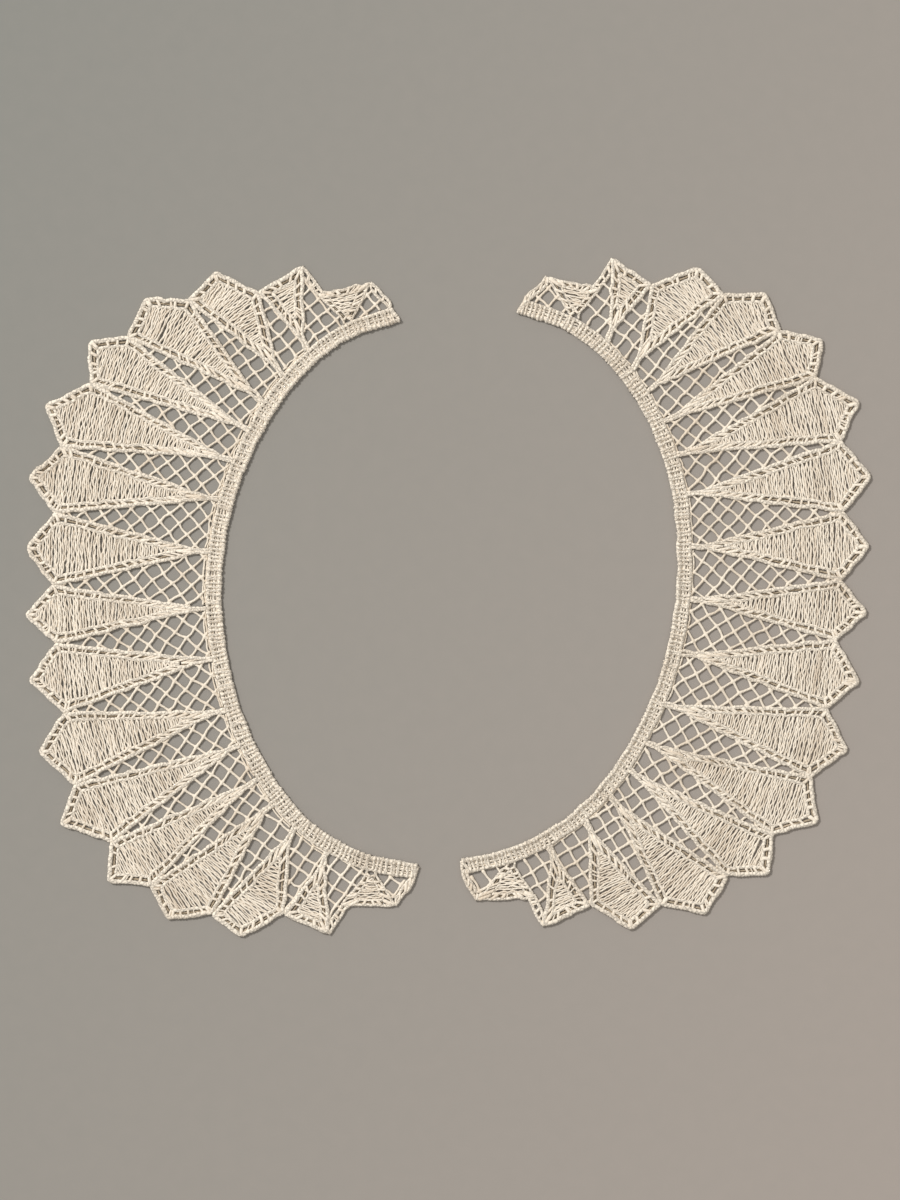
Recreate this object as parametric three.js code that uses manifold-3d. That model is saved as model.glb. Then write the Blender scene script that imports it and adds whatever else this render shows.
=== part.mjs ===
// A two-piece lace collar laid out flat: a left and a right half, each a narrow neck band that
// carries a row of petals with panels of square net between them.
// Millimetres, +Z up. The underside lies on z = 0 and the origin is at the middle of the pair.
import * as THREE from "three";
import * as BufferGeometryUtils from "three/addons/utils/BufferGeometryUtils.js";
import Module from "manifold-3d";

const wasm = await Module();
wasm.setup();

// Driving dimensions
const SEAM = 0.3; // space between neighbouring pieces
const BAND_WIDTH = 4.5;
const BAND_END_RADIUS = 1.6;
const BAND_STEP = 4; // between the sections of a band
const NET_THICKNESS = 1.0;
const NET_PITCH = 3.7; // from one gap of the net to the next
const NET_BAR = 0.75; // width of a bar between two gaps
const NET_HEM = 0.5; // uncut net beside a seam
const GAPS_PER_NET = 10;
const GAPS_PER_END = 5;
const SMALLEST_GAP = 2.4; // in square millimetres
const NET_REACH = 12; // gaps to try each way from the given one
const PAST_STEM = 1.5; // how far a net's side is drawn on, as a share of its length
const FILL_THICKNESS = 1.1; // the petal's threads inside its cords
const OUTER_CORD = { from: 0, to: 1.05, height: 1.6 };
const INNER_CORD = { from: 1.9, to: 2.5, height: 1.4 };
const STEM_WIDTH = 1.6; // where a petal's cords run together above its root
const STEM_LENGTH = 4;
const END_CORD_WIDTH = 1.6; // the straight double cord in an end motif
const END_MARGIN = 1.5; // from the band's end to the end net
const THREAD_COLOUR = 0xe2d4c0;
const NET_COLOUR = 0xd9cab5;
const NEARLY_STRAIGHT = 0.02; // the sine of a corner that counts as none
const SAME_POINT = 1e-4;
const SHORTEST_EDGE = 0.02;

// The band's section: offset from the neck edge and height, over a cord on each edge.
const BAND_SECTION = [
  { offset: 0, height: 0 },
  { offset: 0, height: 1.3 },
  { offset: 0.4, height: 1.7 },
  { offset: 0.9, height: 1.6 },
  { offset: 1.3, height: 1.1 },
  { offset: 2.2, height: 1.35 },
  { offset: 2.8, height: 1.1 },
  { offset: 3.5, height: 1.1 },
  { offset: 3.9, height: 1.5 },
  { offset: 4.3, height: 1.4 },
  { offset: 4.5, height: 1.1 },
  { offset: 4.5, height: 0 },
];

// Each half, from its upper end round to its lower one. `neck` holds points on the neck edge.
// A petal's `at` is where its root leaves the band, along the neck edge; its cords run from there
// to its tip and to the notch on each side, which it shares with its neighbour. The first and last
// petals are half ones. `gap` is the middle of one gap in the net below that notch.
const LEFT = {
  outward: -1,
  neck: [
    { x: -12.5, y: 76.5 }, { x: -28.5, y: 71 }, { x: -41, y: 60.5 }, { x: -50.5, y: 47 },
    { x: -57.5, y: 31.5 }, { x: -61.5, y: 15.5 }, { x: -62.5, y: -1 }, { x: -60.5, y: -18 },
    { x: -56, y: -33.5 }, { x: -48.5, y: -48.5 }, { x: -38, y: -61.5 }, { x: -24, y: -70 },
    { x: -7.5, y: -73.5 },
  ],
  netTurn: { upper: 38.5, lower: 55 }, // degrees from +X to one family of bars
  petals: [
    { at: 25, tip: { x: -40.5, y: 92 }, notch: { x: -52.5, y: 85 }, gap: { x: -47, y: 70 } },
    { at: 35.5, tip: { x: -64, y: 90.5 }, notch: { x: -72, y: 82.5 }, gap: { x: -58, y: 65.5 } },
    { at: 44, tip: { x: -83.5, y: 83.5 }, notch: { x: -89, y: 72.5 }, gap: { x: -67, y: 58 } },
    { at: 52.5, tip: { x: -99.5, y: 71.5 }, notch: { x: -99, y: 59.5 }, gap: { x: -73.5, y: 47.5 } },
    { at: 61.5, tip: { x: -112, y: 53.5 }, notch: { x: -107, y: 42 }, gap: { x: -77.5, y: 35 } },
    { at: 72.5, tip: { x: -116.5, y: 33.5 }, notch: { x: -109, y: 23.5 }, gap: { x: -82, y: 21.5 } },
    { at: 86.5, tip: { x: -117, y: 14 }, notch: { x: -109.5, y: 3.5 }, gap: { x: -81, y: 7.5 } },
    { at: 101.5, tip: { x: -117.5, y: -4.5 }, notch: { x: -109, y: -12.5 }, gap: { x: -80, y: -12.5 } },
    { at: 115, tip: { x: -116, y: -22.5 }, notch: { x: -106.5, y: -31.5 }, gap: { x: -75, y: -25.5 } },
    { at: 129, tip: { x: -113.5, y: -42.5 }, notch: { x: -103.5, y: -51.5 }, gap: { x: -75, y: -39.5 } },
    { at: 139, tip: { x: -107.5, y: -62.5 }, notch: { x: -93.5, y: -67.5 }, gap: { x: -70, y: -52 } },
    { at: 149, tip: { x: -94.5, y: -78.5 }, notch: { x: -82.5, y: -79.5 }, gap: { x: -63, y: -62 } },
    { at: 156.5, tip: { x: -77.5, y: -89 }, notch: { x: -65.5, y: -87.5 }, gap: { x: -53.5, y: -68.5 } },
    { at: 165, tip: { x: -57, y: -94 }, notch: { x: -45.5, y: -87.5 }, gap: { x: -42, y: -72 } },
    { at: 176.5, tip: { x: -33, y: -93 } },
  ],
  // An end motif's own corners, from the half petal's notch on: where the small petal's edge starts
  // on the straight cord, that petal's shoulder, the end net's corner, and the root of the small petal.
  upperEnd: {
    at: 13.5,
    start: { x: -34, y: 86 },
    shoulder: { x: -21, y: 87.5 },
    corner: { x: -15, y: 81.5 },
    gap: { x: -33.5, y: 77 },
  },
  lowerEnd: {
    at: 187.5,
    start: { x: -28, y: -86 },
    shoulder: { x: -14, y: -85 },
    corner: { x: -9, y: -78 },
    gap: { x: -31, y: -82 },
  },
};

const RIGHT = {
  outward: 1,
  neck: [
    { x: 18.5, y: 79 }, { x: 34, y: 73 }, { x: 46.5, y: 62 }, { x: 55.5, y: 48 },
    { x: 61, y: 32 }, { x: 63, y: 15.5 }, { x: 62.5, y: -1 }, { x: 59.5, y: -17.5 },
    { x: 53.5, y: -33 }, { x: 45, y: -47.5 }, { x: 33.5, y: -59.5 }, { x: 19, y: -68 },
    { x: 3, y: -72 },
  ],
  netTurn: { upper: 49, lower: 32 },
  petals: [
    { at: 24, tip: { x: 45.5, y: 94 }, notch: { x: 56.5, y: 87 }, gap: { x: 48.5, y: 74.5 } },
    { at: 35, tip: { x: 69, y: 92 }, notch: { x: 76.5, y: 84.5 }, gap: { x: 62.5, y: 67.5 } },
    { at: 42, tip: { x: 88, y: 84.5 }, notch: { x: 92, y: 74 }, gap: { x: 70.5, y: 60 } },
    { at: 51, tip: { x: 104, y: 72 }, notch: { x: 102, y: 61 }, gap: { x: 76, y: 49.5 } },
    { at: 60.5, tip: { x: 114, y: 54.5 }, notch: { x: 109, y: 43.5 }, gap: { x: 79, y: 36 } },
    { at: 71, tip: { x: 117.5, y: 33.5 }, notch: { x: 109.5, y: 24 }, gap: { x: 82.5, y: 22.5 } },
    { at: 85, tip: { x: 117, y: 14.5 }, notch: { x: 109, y: 5 }, gap: { x: 83.5, y: 6 } },
    { at: 99, tip: { x: 116, y: -4 }, notch: { x: 107.5, y: -11.5 }, gap: { x: 78.5, y: -11.5 } },
    { at: 113.5, tip: { x: 114, y: -23 }, notch: { x: 105, y: -30.5 }, gap: { x: 78, y: -25.5 } },
    { at: 127.5, tip: { x: 111, y: -42 }, notch: { x: 100.5, y: -49.5 }, gap: { x: 72, y: -38 } },
    { at: 139, tip: { x: 102.5, y: -62 }, notch: { x: 90, y: -65.5 }, gap: { x: 66.5, y: -50.5 } },
    { at: 147.5, tip: { x: 89, y: -76.5 }, notch: { x: 77.5, y: -77 }, gap: { x: 58, y: -60 } },
    { at: 156, tip: { x: 71, y: -87.5 }, notch: { x: 59, y: -85 }, gap: { x: 47.5, y: -66.5 } },
    { at: 165, tip: { x: 50.5, y: -92 }, notch: { x: 39.5, y: -85 }, gap: { x: 36, y: -70 } },
    { at: 177.5, tip: { x: 26.5, y: -91 } },
  ],
  upperEnd: {
    at: 14.5,
    start: { x: 40.5, y: 86.5 },
    shoulder: { x: 27, y: 89 },
    corner: { x: 21.5, y: 84 },
    gap: { x: 38.5, y: 78.5 },
  },
  lowerEnd: {
    at: 187.5,
    start: { x: 21.5, y: -84 },
    shoulder: { x: 7.5, y: -83.5 },
    corner: { x: 3.5, y: -77 },
    gap: { x: 20.5, y: -75 },
  },
};

// Outlines

function vector(point) {
  return new THREE.Vector2(point.x, point.y);
}

function counterClockwise(points) {
  return THREE.ShapeUtils.isClockWise(points) ? [...points].reverse() : points;
}

function crossing(a, alongA, b, alongB) {
  const t = b.clone().sub(a).cross(alongB) / alongA.cross(alongB);
  return a.clone().addScaledVector(alongA, t);
}

// The outline with every edge moved inwards by the same distance.
function inset(outline, distance) {
  const points = counterClockwise(outline);
  const edges = points.map((start, i) => {
    const along = points[(i + 1) % points.length].clone().sub(start).normalize();
    const inward = new THREE.Vector2(-along.y, along.x);
    return { start: start.clone().addScaledVector(inward, distance), along };
  });
  return edges.map((edge, i) => {
    const before = edges[(i + edges.length - 1) % edges.length];
    const straight = Math.abs(before.along.cross(edge.along)) < NEARLY_STRAIGHT;
    return straight ? edge.start.clone() : crossing(before.start, before.along, edge.start, edge.along);
  });
}

// What is left of a polygon inside a convex outline.
function clip(polygon, outline) {
  const corners = counterClockwise(outline);
  let kept = polygon;
  corners.forEach((start, i) => {
    const along = corners[(i + 1) % corners.length].clone().sub(start);
    const inside = (p) => along.cross(p.clone().sub(start)) >= 0;
    kept = kept.flatMap((p, k) => {
      const next = kept[(k + 1) % kept.length];
      const cut = () => crossing(p, next.clone().sub(p), start, along);
      if (inside(p)) return inside(next) ? [p] : [p, cut()];
      return inside(next) ? [cut()] : [];
    });
  });
  return kept.filter((p, k) => p.distanceTo(kept[(k + 1) % kept.length]) > SHORTEST_EDGE);
}

// Solids

function prism(outline, height, holes = []) {
  const shape = new THREE.Shape(counterClockwise(outline));
  shape.holes = holes.map((hole) => new THREE.Path(hole));
  return new THREE.ExtrudeGeometry(shape, { depth: height, bevelEnabled: false });
}

function toSolid(geometry) {
  const bare = new THREE.BufferGeometry();
  bare.setAttribute("position", geometry.getAttribute("position"));
  if (geometry.index) bare.setIndex(geometry.index);
  const merged = BufferGeometryUtils.mergeVertices(bare, SAME_POINT);
  return new wasm.Manifold(new wasm.Mesh({
    numProp: 3,
    vertProperties: new Float32Array(merged.attributes.position.array),
    triVerts: new Uint32Array(merged.index.array),
  }));
}

function toGeometry(solid) {
  const mesh = solid.getMesh();
  const geometry = new THREE.BufferGeometry();
  geometry.setAttribute("position", new THREE.BufferAttribute(mesh.vertProperties, 3));
  geometry.setIndex(new THREE.BufferAttribute(mesh.triVerts, 1));
  geometry.computeVertexNormals();
  return geometry;
}

function joined(solids) {
  return solids.reduce((whole, solid) => whole.add(solid));
}

// A cord that runs round inside an outline.
function cordRound(outline, cord) {
  return toSolid(prism(inset(outline, cord.from), cord.height, [inset(outline, cord.to)]));
}

function cordBetween(start, end, width, height) {
  const along = end.clone().sub(start).normalize();
  const aside = new THREE.Vector2(-along.y, along.x).multiplyScalar(width / 2);
  const outline = [
    start.clone().add(aside), end.clone().add(aside),
    end.clone().sub(aside), start.clone().sub(aside),
  ];
  return toSolid(prism(outline, height));
}

// The neck edge

function neckEdge(half) {
  const curve = new THREE.CatmullRomCurve3(half.neck.map((p) => new THREE.Vector3(p.x, p.y, 0)));
  const length = curve.getLength();
  const at = (distance) => {
    const u = Math.min(Math.max(distance / length, 0), 1);
    const point = curve.getPointAt(u);
    const along = curve.getTangentAt(u);
    return {
      point: new THREE.Vector2(point.x, point.y),
      along: new THREE.Vector2(along.x, along.y),
      outward: new THREE.Vector2(along.y, -along.x).multiplyScalar(-half.outward),
    };
  };
  const offset = (distance, width) => {
    const place = at(distance);
    return place.point.addScaledVector(place.outward, width);
  };
  return { length, at, offset };
}

// The band: its section swept along the neck edge, drawn in round each end.
function bandGeometry(edge) {
  const turns = [0, 0.15, 0.5, 1].map((share) => share * BAND_END_RADIUS);
  const inner = [];
  const steps = Math.round((edge.length - 2 * BAND_END_RADIUS) / BAND_STEP);
  for (let i = 1; i < steps; i += 1) {
    inner.push(BAND_END_RADIUS + ((edge.length - 2 * BAND_END_RADIUS) * i) / steps);
  }
  const stations = [...turns, ...inner, ...turns.map((turn) => edge.length - turn).reverse()];
  const count = BAND_SECTION.length;
  const positions = stations.flatMap((distance) => {
    const fromEnd = Math.min(distance, edge.length - distance, BAND_END_RADIUS);
    const rise = 1 - fromEnd / BAND_END_RADIUS;
    const halfWidth = BAND_WIDTH / 2 - BAND_END_RADIUS * (1 - Math.sqrt(1 - rise * rise));
    return BAND_SECTION.flatMap(({ offset, height }) => {
      const across = (offset / BAND_WIDTH - 0.5) * 2 * halfWidth + BAND_WIDTH / 2;
      const p = edge.offset(distance, across);
      return [p.x, p.y, height];
    });
  });
  const index = [];
  for (let s = 0; s + 1 < stations.length; s += 1) {
    for (let k = 0; k < count; k += 1) {
      const a = s * count + k;
      const b = s * count + ((k + 1) % count);
      index.push(a, b, b + count, a, b + count, a + count);
    }
  }
  const face = BAND_SECTION.map(({ offset, height }) => new THREE.Vector2(offset, height));
  const last = (stations.length - 1) * count;
  THREE.ShapeUtils.triangulateShape(face, []).forEach((corners) => {
    const isClockWise = THREE.ShapeUtils.isClockWise(corners.map((corner) => face[corner]));
    const [a, b, c] = isClockWise ? corners : [...corners].reverse();
    index.push(a, c, b, last + a, last + b, last + c);
  });
  const geometry = new THREE.BufferGeometry();
  geometry.setAttribute("position", new THREE.Float32BufferAttribute(positions, 3));
  geometry.setIndex(index);
  return facingOut(geometry);
}

// The mesh with its faces turned to point out, whichever way it was wound.
function facingOut(geometry) {
  const p = geometry.attributes.position;
  const index = geometry.index.array;
  const [a, b, c] = [new THREE.Vector3(), new THREE.Vector3(), new THREE.Vector3()];
  let volume = 0;
  for (let i = 0; i < index.length; i += 3) {
    a.fromBufferAttribute(p, index[i]);
    b.fromBufferAttribute(p, index[i + 1]);
    c.fromBufferAttribute(p, index[i + 2]);
    volume += a.dot(b.cross(c));
  }
  if (volume < 0) {
    for (let i = 0; i < index.length; i += 3) {
      [index[i + 1], index[i + 2]] = [index[i + 2], index[i + 1]];
    }
  }
  geometry.computeVertexNormals();
  return geometry;
}

// A petal's places: its root on the band, its axis, and where its two sides reach the stem.
function petalFrame(edge, at, towards) {
  const root = edge.offset(at, BAND_WIDTH + SEAM / 2);
  const axis = towards.clone().sub(root).normalize();
  const { along } = edge.at(at);
  const top = root.clone().addScaledVector(axis, STEM_LENGTH);
  const aside = new THREE.Vector2(axis.y, -axis.x);
  if (aside.dot(along) < 0) aside.negate();
  const half = STEM_WIDTH / 2;
  return {
    root,
    axis,
    top,
    at,
    before: top.clone().addScaledVector(aside, -half),
    after: top.clone().addScaledVector(aside, half),
    rootBefore: edge.offset(at - half, BAND_WIDTH + SEAM / 2),
    rootAfter: edge.offset(at + half, BAND_WIDTH + SEAM / 2),
  };
}

// A petal: a plate of fill threads inside two cords, on a stem that stands on the band.
function petalSolid(frame, notchBefore, tip, notchAfter) {
  const foot = crossing(
    notchBefore, frame.before.clone().sub(notchBefore),
    notchAfter, frame.after.clone().sub(notchAfter),
  );
  const outline = inset([notchBefore, tip, notchAfter, foot], SEAM / 2);
  const root = frame.root.clone().addScaledVector(frame.axis, SEAM / 2);
  return joined([
    toSolid(prism(outline, FILL_THICKNESS)),
    cordRound(outline, OUTER_CORD),
    cordRound(outline, INNER_CORD),
    cordBetween(root, frame.top, STEM_WIDTH - SEAM, INNER_CORD.height),
  ]);
}

// The net's gaps: squares on a turned grid, cut off at the hem, the largest ones first.
function netGaps(wedges, gap, turn, most) {
  const hems = wedges.map((wedge) => inset(wedge, NET_HEM));
  const side = new THREE.Vector2(Math.cos(turn), Math.sin(turn));
  const up = new THREE.Vector2(-side.y, side.x);
  const gaps = [];
  for (let i = -NET_REACH; i <= NET_REACH; i += 1) {
    for (let j = -NET_REACH; j <= NET_REACH; j += 1) {
      const middle = vector(gap).addScaledVector(side, i * NET_PITCH).addScaledVector(up, j * NET_PITCH);
      const half = (NET_PITCH - NET_BAR) / 2;
      const square = [[-1, -1], [1, -1], [1, 1], [-1, 1]].map(([a, b]) => (
        middle.clone().addScaledVector(side, a * half).addScaledVector(up, b * half)
      ));
      const cut = hems.reduce(clip, square);
      if (cut.length > 2) gaps.push({ cut, area: Math.abs(THREE.ShapeUtils.area(cut)) });
    }
  }
  return gaps
    .filter(({ area }) => area > SMALLEST_GAP)
    .sort((a, b) => b.area - a.area)
    .slice(0, most)
    .map(({ cut }) => cut);
}

// Points along the band's outer edge, from one root to the next.
function bandStretch(edge, from, to) {
  const steps = Math.max(1, Math.round(Math.abs(to - from) / BAND_STEP));
  return Array.from({ length: steps + 1 }, (_, i) => (
    edge.offset(from + ((to - from) * i) / steps, BAND_WIDTH + SEAM / 2)
  ));
}

// The net between two petals, from the notch where they meet down to the band.
function netGeometry(edge, before, after, notch, gap, turn) {
  const base = bandStretch(edge, before.at + STEM_WIDTH / 2, after.at - STEM_WIDTH / 2);
  const outline = inset([notch, before.after, ...base, after.before], SEAM / 2);
  const past = (corner) => notch.clone().lerp(corner, PAST_STEM);
  const wedges = [
    inset([notch, base[0], base[base.length - 1]], SEAM / 2),
    inset([notch, past(before.after), past(after.before)], SEAM / 2),
  ];
  return prism(outline, NET_THICKNESS, netGaps(wedges, gap, turn, GAPS_PER_NET));
}

// An end motif: half a petal, its net, a small petal and the end net, in one piece. `towards` is -1
// at the upper end of the neck edge and 1 at its lower end.
function endSolid(edge, petal, end, notch, turn, towards) {
  const [tip, start, shoulder, corner] = [petal.tip, end.start, end.shoulder, end.corner].map(vector);
  const frame = petalFrame(edge, petal.at, tip);
  const [outer, inner] = towards < 0 ? [frame.after, frame.before] : [frame.before, frame.after];
  const root = edge.offset(end.at, BAND_WIDTH + SEAM / 2);
  const limit = towards < 0 ? END_MARGIN : edge.length - END_MARGIN;
  const base = bandStretch(edge, limit, petal.at - (towards * STEM_WIDTH) / 2);
  const foot = crossing(notch, outer.clone().sub(notch), tip, inner.clone().sub(tip));
  const halfPetal = [notch, tip, foot];
  const smallPetal = [start, shoulder, root];
  const net = inset([tip, inner, root], END_CORD_WIDTH / 2);
  const outline = [notch, tip, start, shoulder, corner, ...base, outer];
  const whole = joined([
    toSolid(prism(outline, NET_THICKNESS, netGaps([net], end.gap, turn, GAPS_PER_END))),
    toSolid(prism(halfPetal, FILL_THICKNESS)),
    cordRound(halfPetal, OUTER_CORD),
    cordRound(halfPetal, INNER_CORD),
    toSolid(prism(smallPetal, FILL_THICKNESS)),
    cordRound(smallPetal, OUTER_CORD),
    cordBetween(tip, root, END_CORD_WIDTH, OUTER_CORD.height),
    cordBetween(frame.root, frame.top, STEM_WIDTH, INNER_CORD.height),
  ]);
  return whole.intersect(toSolid(prism(inset(outline, SEAM / 2), 2 * OUTER_CORD.height)));
}

// Assembly

const threadMaterial = new THREE.MeshStandardMaterial({ color: THREAD_COLOUR, roughness: 0.9, metalness: 0 });
const netMaterial = new THREE.MeshStandardMaterial({ color: NET_COLOUR, roughness: 0.9, metalness: 0 });

function named(name, geometry, material) {
  const mesh = new THREE.Mesh(geometry, material);
  mesh.name = name;
  return mesh;
}

function halfCollar(name, half) {
  const edge = neckEdge(half);
  const group = new THREE.Group();
  const { petals, upperEnd, lowerEnd } = half;
  const frames = petals.map((petal) => petalFrame(edge, petal.at, vector(petal.tip)));
  const turns = petals.map((_, k) => THREE.MathUtils.degToRad(
    k < petals.length / 2 - 1 ? half.netTurn.upper : half.netTurn.lower,
  ));
  group.add(named(`${name}_band`, bandGeometry(edge), threadMaterial));
  petals.slice(0, -1).forEach((petal, k) => {
    const net = netGeometry(edge, frames[k], frames[k + 1], vector(petal.notch), petal.gap, turns[k]);
    group.add(named(`${name}_net_${String(k + 1).padStart(2, "0")}`, net, netMaterial));
  });
  for (let k = 1; k + 1 < petals.length; k += 1) {
    const solid = petalSolid(
      frames[k], vector(petals[k - 1].notch), vector(petals[k].tip), vector(petals[k].notch),
    );
    group.add(named(`${name}_petal_${String(k).padStart(2, "0")}`, toGeometry(solid), threadMaterial));
  }
  const last = petals[petals.length - 1];
  const upper = endSolid(edge, petals[0], upperEnd, vector(petals[0].notch), turns[0], -1);
  const lower = endSolid(edge, last, lowerEnd, vector(petals[petals.length - 2].notch), turns.at(-1), 1);
  group.add(named(`${name}_end_upper`, toGeometry(upper), threadMaterial));
  group.add(named(`${name}_end_lower`, toGeometry(lower), threadMaterial));
  return group;
}

const collar = new THREE.Group();
collar.add(halfCollar("left", LEFT), halfCollar("right", RIGHT));

export default collar;
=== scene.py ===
import math

import bmesh
import bpy
import numpy as np
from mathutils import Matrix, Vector


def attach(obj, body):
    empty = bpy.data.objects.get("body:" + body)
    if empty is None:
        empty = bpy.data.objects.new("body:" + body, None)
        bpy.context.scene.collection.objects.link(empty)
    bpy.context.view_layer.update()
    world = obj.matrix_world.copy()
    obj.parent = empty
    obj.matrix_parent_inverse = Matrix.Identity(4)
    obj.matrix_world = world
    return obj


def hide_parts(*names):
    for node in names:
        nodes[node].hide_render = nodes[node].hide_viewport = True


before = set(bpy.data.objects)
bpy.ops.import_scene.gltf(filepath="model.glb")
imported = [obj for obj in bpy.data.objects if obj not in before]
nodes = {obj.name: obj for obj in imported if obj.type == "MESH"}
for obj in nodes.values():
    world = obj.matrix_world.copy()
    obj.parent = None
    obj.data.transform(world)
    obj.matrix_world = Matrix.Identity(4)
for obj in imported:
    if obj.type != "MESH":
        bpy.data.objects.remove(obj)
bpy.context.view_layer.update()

# The view: straight down on the two halves as they lie, from far enough that the petals at the
# edges aren't seen from the side. It takes in 248 mm by 331 mm of the table.
VIEW_HEIGHT = 0.33084
VIEW_CENTRE = (0.00055, -0.00041)
LENS = 100.0
FILM_HEIGHT = 36.0
NEAREST = 0.01
FARTHEST = 10.0

camera_data = bpy.data.cameras.new("straight_down")
camera_data.sensor_fit = "VERTICAL"
camera_data.sensor_height = FILM_HEIGHT
camera_data.lens = LENS
camera_data.clip_start = NEAREST
camera_data.clip_end = FARTHEST
camera = bpy.data.objects.new("straight_down", camera_data)
camera.location = (*VIEW_CENTRE, VIEW_HEIGHT * LENS / FILM_HEIGHT)
bpy.context.scene.collection.objects.link(camera)
bpy.context.scene.camera = camera

# The neck bands: a narrow tape of ecru cotton thread along each half's inner edge, by which the
# collar is tacked to a neckline. A thick satin-stitched cord runs along the neck edge, a middle
# cord and an outer cord beside it, and cross stitches tie them, which leaves two rows of small holes.
MM = 0.001
NECK_EDGE_HEIGHT = 1.3  # where the solid band's neck edge starts to round over
NECK_EDGE_END = 3.0  # the solid's ends are round, and the neck edge is drawn out straight so far
FLATNESS = 0.8  # a thread's height over its width
LOWEST = 0.01  # no thread lies nearer to the floor, in mm
PATTERN_STARTS = 40  # each thread's stitches start anywhere along so much of their pattern
COTTON_PALE = (0.94, 0.84, 0.70)
COTTON_DEEP = (0.74, 0.62, 0.48)
# the deep colour of the low thread in a ladder's gap is painted shade, for the warm shade there
COTTON_GROUND_PAINTED_SHADE = (0.47, 0.385, 0.275)
LOOKS = {  # sides of its tube, how far the valleys between its stitches are bumped and darkened by painted shade, roughness in mm, range of its shade
    "thread": (5, 0.0, 0.02, (0.1, 1.1)),
    "cord": (6, 1.0, 0.035, (0.5, 1.1)),
    "ground_painted_shade": (4, 0.0, 0.02, (-1.0, -1.0)),
}
BAND_RIM = ((0.70, 0.60), (3.72, 0.50))  # offset from the neck edge and half width, in mm
BAND_CORD_HEIGHT = 0.55  # of its middle
BAND_NECK_SHIFT = {"left": -0.3, "right": -0.12}  # of the neck edge, fading out across the band
BAND_NECK_REACH = 2.5
BAND_LINES = (  # offset, half width and height of the cord between the rims and the two threads beside
    (2.05, 0.38, 0.44),
    (1.38, 0.32, 0.33),
    (2.82, 0.30, 0.30),
)
BAND_END = 0.6  # from the neck edge's end to the middle of the rim cord
BAND_ROUND = 0.9  # how far its corners are rounded off
BAND_SLANT = 1.5  # how much shorter the outer cord is at each end
BAND_STRAY = 0.06
BAND_BEAD = 0.07  # how much a cord bulges at each stitch, as a share of its width
CORD_UNEVEN = 0.05  # and how much its width wavers
BAND_STEP = 0.42  # between two rings of a cord
BAND_STITCH_PITCH = 1.16
BAND_STITCH_ENDS = (0.6, 0.4)  # from the band's ends to the first and the last stitch
BAND_STITCH_STRAY = (0.07, 0.03, 0.03)  # of its offsets, heights and half widths
BAND_STITCH_SHIFT = 0.17  # of a whole stitch along the band
BAND_STITCH_WAVER = 0.13  # and of its parts
BAND_STITCH_WIDTHS = (0.85, 1.12)
BAND_STITCH = np.array([  # over the cords and down between them: offset, height, half width
    (0.10, 0.32, 0.34), (0.25, 0.72, 0.46), (0.70, 1.00, 0.51), (1.15, 0.74, 0.46), (1.45, 0.48, 0.42),
    (2.05, 0.62, 0.45), (2.65, 0.44, 0.40), (3.15, 0.66, 0.46), (3.72, 0.88, 0.51), (4.2, 0.40, 0.44),
])

DRIFT = 0.045  # in mm, how far the lace strays in each of its long waves
DRIFT_WAVES = 0.42  # about how far they turn in 1 mm

rng = np.random.default_rng(1931)
drift_waves = rng.normal(0, DRIFT_WAVES, (2, 6))
drift_phases = rng.uniform(0, 2 * np.pi, 6)


def strayed(points):
    """Points moved a little sideways, in long waves that run on from piece to piece."""
    turns = points[:, :2] @ drift_waves + drift_phases
    moved = points.copy()
    moved[:, 0] += DRIFT * np.cos(turns).sum(axis=1)
    moved[:, 1] += DRIFT * np.sin(turns).sum(axis=1)
    return moved


def waver(count, size, every):
    """Smooth random offsets for count points, with a new value at every so many points."""
    knots = rng.normal(0, size, int(count / every) + 4)
    at = np.arange(count) / every + rng.random()
    low = at.astype(int)
    share = at - low
    share = share * share * (3 - 2 * share)
    return knots[low] * (1 - share) + knots[low + 1] * share


def spaced(path, step):
    """The same path with points every step along it."""
    path = np.asarray(path, float)
    length = np.r_[0, np.cumsum(np.linalg.norm(np.diff(path, axis=0), axis=1))]
    count = max(2, int(round(length[-1] / step)) + 1)
    at = np.linspace(0, length[-1], count)
    return np.stack([np.interp(at, length, path[:, k]) for k in range(path.shape[1])], axis=1)


def sideways(path):
    """The unit vectors to the left of a flat path."""
    along = np.gradient(path[:, :2], axis=0)
    along /= np.maximum(np.linalg.norm(along, axis=1), 1e-9)[:, None]
    return np.stack([-along[:, 1], along[:, 0]], axis=1)


def thread(path, half_width, height, look="thread"):
    """A thread along a flat path, in mm: points with the height of its middle, half widths, look."""
    path = np.asarray(path, float)
    points = np.column_stack([path[:, :2], np.broadcast_to(height, len(path))])
    return points, np.broadcast_to(half_width, len(path)).astype(float), look


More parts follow.
